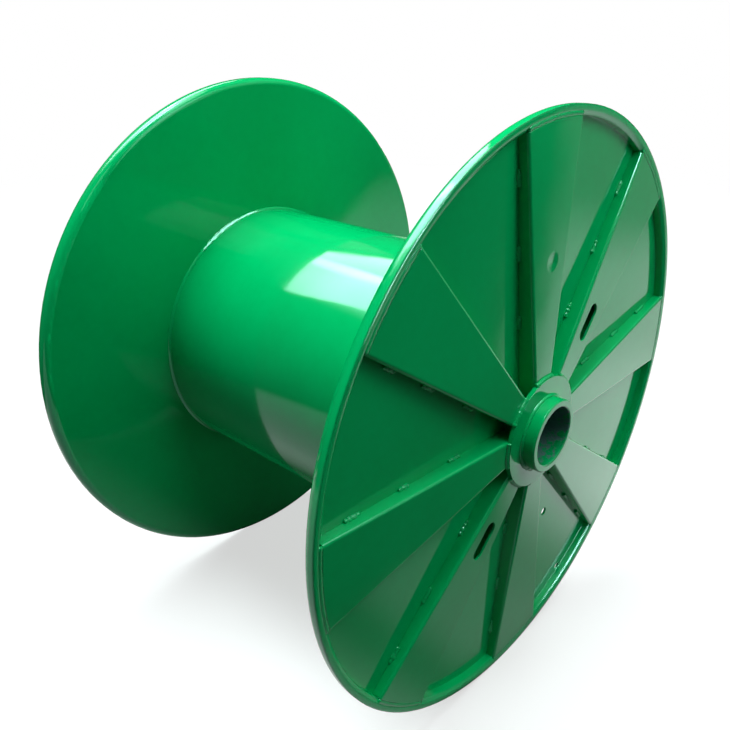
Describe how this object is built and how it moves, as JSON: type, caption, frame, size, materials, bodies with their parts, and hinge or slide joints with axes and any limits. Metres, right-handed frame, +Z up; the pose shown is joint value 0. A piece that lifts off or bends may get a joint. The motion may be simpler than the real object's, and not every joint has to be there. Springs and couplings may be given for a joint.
{
  "type": "metal wire bobbin",
  "caption": "Welded steel wire bobbin: cylindrical barrel between round flanges with radial stiffeners, wire holes, drive slots and a bored axle tube.",
  "frame": {"origin": "middle of the bobbin, on its axis and halfway between the flanges", "axes": "+Y along the axis towards the far flange, +X to the right and +Z up as seen from the near flange's end; the rims rest on the floor at z = -0.4"},
  "size_m": [0.7999, 0.604, 0.8],
  "materials": {
    "green_paint": "gloss enamel over welded steel sheet",
    "green_paint_tube": "gloss enamel, thinner inside the bore"
  },
  "bodies": {
    "root": {"barrel": "green_paint", "axle_tube": "green_paint_tube", "flange_near": "green_paint", "hub_plate_near": "green_paint", "stiffener_near_1": "green_paint", "stiffener_near_2": "green_paint", "stiffener_near_3": "green_paint", "stiffener_near_4": "green_paint", "stiffener_near_5": "green_paint", "stiffener_near_6": "green_paint", "stiffener_near_7": "green_paint", "stiffener_near_8": "green_paint", "flange_far": "green_paint", "hub_plate_far": "green_paint", "stiffener_far_1": "green_paint", "stiffener_far_2": "green_paint", "stiffener_far_3": "green_paint", "stiffener_far_4": "green_paint", "stiffener_far_5": "green_paint", "stiffener_far_6": "green_paint", "stiffener_far_7": "green_paint", "stiffener_far_8": "green_paint"}
  },
  "joints": []
}
